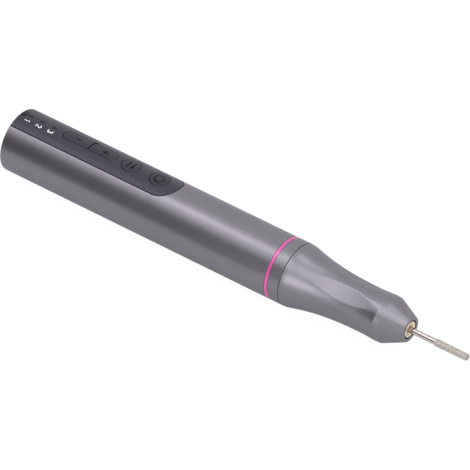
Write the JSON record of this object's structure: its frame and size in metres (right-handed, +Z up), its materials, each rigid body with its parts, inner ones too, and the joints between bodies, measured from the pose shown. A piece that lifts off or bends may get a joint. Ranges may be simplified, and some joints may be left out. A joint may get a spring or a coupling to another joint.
{
  "type": "electric engraving pen",
  "caption": "Cordless rotary engraving pen: round metal barrel with an inlaid key panel, accent ring, waisted twist nose, collet and grit-coated bit.",
  "frame": {"origin": "under the middle of the pen's length, on the surface that the barrel lies on", "axes": "+X along the pen towards the bit, +Z up through the middle of the key panel"},
  "size_m": [0.203, 0.025, 0.0249],
  "materials": {
    "anodised_metal": "fine satin, anodised grey",
    "panel_plastic": "satin, moulded, dark grey",
    "key_plastic": "satin, moulded, dark grey with darker signs",
    "window": "smoked, glossy",
    "accent_metal": "bright magenta, satin",
    "brass": "turned, satin",
    "polished_steel": "polished",
    "steel": "ground",
    "grit": "rough, coated with grit",
    "dark_plastic": "moulded, near black",
    "nickel": "nickel plated",
    "board": "green solder mask",
    "chip": "moulded black",
    "led": "milky white",
    "cell_wrap": "shrink film, blue",
    "red_wire": "wire cover, red",
    "black_wire": "wire cover, black",
    "can_steel": "plated steel",
    "magnet": "sintered, dark grey",
    "rotor_copper": "copper and laminated steel",
    "carbon": "pressed carbon",
    "bare_aluminium": "turned, bare",
    "rubber": "moulded black"
  },
  "bodies": {
    "handle": {"barrel": "anodised_metal", "control_panel": "panel_plastic", "level_light_guide": "window", "indicator_window": "window", "rear_cap": "dark_plastic", "usb_shell": "nickel", "usb_tongue": "dark_plastic", "circuit_board": "board", "power_switch": "dark_plastic", "direction_switch": "dark_plastic", "speed_down_switch": "dark_plastic", "speed_up_switch": "dark_plastic", "level_led_bar": "led", "control_chip": "chip", "inner_chassis": "dark_plastic", "battery_cell": "cell_wrap", "battery_tab_positive": "nickel", "battery_tab_negative": "nickel", "motor_lead_positive": "red_wire", "motor_lead_negative": "black_wire", "board_screw_1": "steel", "board_screw_2": "steel", "motor_can": "can_steel", "motor_end_cap": "dark_plastic", "motor_magnet_left": "magnet", "motor_magnet_right": "magnet", "motor_brush_left": "carbon", "motor_brush_right": "carbon", "motor_screw_1": "steel", "motor_screw_2": "steel", "spindle_housing": "bare_aluminium", "rear_bearing_outer": "steel", "front_bearing_outer": "steel", "bearing_retainer": "bare_aluminium", "accent_ring": "accent_metal", "front_collar": "anodised_metal", "nose_o_ring": "rubber", "nose_retaining_clip": "steel"},
    "power_key": {"power_key": "key_plastic"},
    "direction_key": {"direction_key": "key_plastic"},
    "speed_down_key": {"speed_down_key": "key_plastic"},
    "speed_up_key": {"speed_up_key": "key_plastic"},
    "spindle": {"spindle": "steel", "rear_bearing_inner": "steel", "front_bearing_inner": "steel", "coupling_motor_half": "brass", "coupling_spindle_half": "brass", "motor_shaft": "steel", "rotor_core": "rotor_copper", "commutator": "rotor_copper", "collet_spring": "steel"},
    "rear_ball_cage": {"rear_bearing_balls": "steel"},
    "front_ball_cage": {"front_bearing_balls": "steel"},
    "release_sleeve": {"release_sleeve": "steel"},
    "nose": {"nose_grip": "anodised_metal"},
    "collet_set": {"drawbar": "steel", "cross_pin": "steel", "collet": "brass"},
    "bit": {"bit_shank": "polished_steel", "grinding_burr": "grit"}
  },
  "joints": [
    {"name": "spindle_spin", "type": "hinge", "parent": "handle", "child": "spindle", "pos_m": [0, 0, 0.01247], "axis": [1, 0, 0], "continuous": true},
    {"name": "rear_cage_spin", "type": "hinge", "parent": "handle", "child": "rear_ball_cage", "pos_m": [0, 0, 0.01247], "axis": [1, 0, 0], "continuous": true},
    {"name": "front_cage_spin", "type": "hinge", "parent": "handle", "child": "front_ball_cage", "pos_m": [0, 0, 0.01247], "axis": [1, 0, 0], "continuous": true},
    {"name": "nose_twist", "type": "hinge", "parent": "handle", "child": "nose", "pos_m": [0, 0, 0.01247], "axis": [1, 0, 0], "range_deg": [0, 60]},
    {"name": "release_slide", "type": "slide", "parent": "handle", "child": "release_sleeve", "axis": [1, 0, 0], "range_m": [0, 0.0012]},
    {"name": "collet_slide", "type": "slide", "parent": "spindle", "child": "collet_set", "axis": [1, 0, 0], "range_m": [0, 0.0009], "deforming": ["collet_spring"]},
    {"name": "bit_removal", "type": "slide", "parent": "collet_set", "child": "bit", "axis": [1, 0, 0], "range_m": [0, 0.025]},
    {"name": "power_key_press", "type": "slide", "parent": "handle", "child": "power_key", "axis": [0, 0, -1], "range_m": [0, 0.00035], "stiffness_N_per_m": 2500},
    {"name": "direction_key_press", "type": "slide", "parent": "handle", "child": "direction_key", "axis": [0, 0, -1], "range_m": [0, 0.00035], "stiffness_N_per_m": 2500},
    {"name": "speed_down_key_press", "type": "slide", "parent": "handle", "child": "speed_down_key", "axis": [0, 0, -1], "range_m": [0, 0.00035], "stiffness_N_per_m": 2500},
    {"name": "speed_up_key_press", "type": "slide", "parent": "handle", "child": "speed_up_key", "axis": [0, 0, -1], "range_m": [0, 0.00035], "stiffness_N_per_m": 2500}
  ],
  "couplings": [
    {"joint": "rear_cage_spin", "follows": "spindle_spin", "ratio": 0.449},
    {"joint": "front_cage_spin", "follows": "spindle_spin", "ratio": 0.449},
    {"joint": "release_slide", "follows": "nose_twist", "m_per_rad": 0.0011459},
    {"joint": "collet_slide", "follows": "nose_twist", "m_per_rad": 0.00085943}
  ]
}
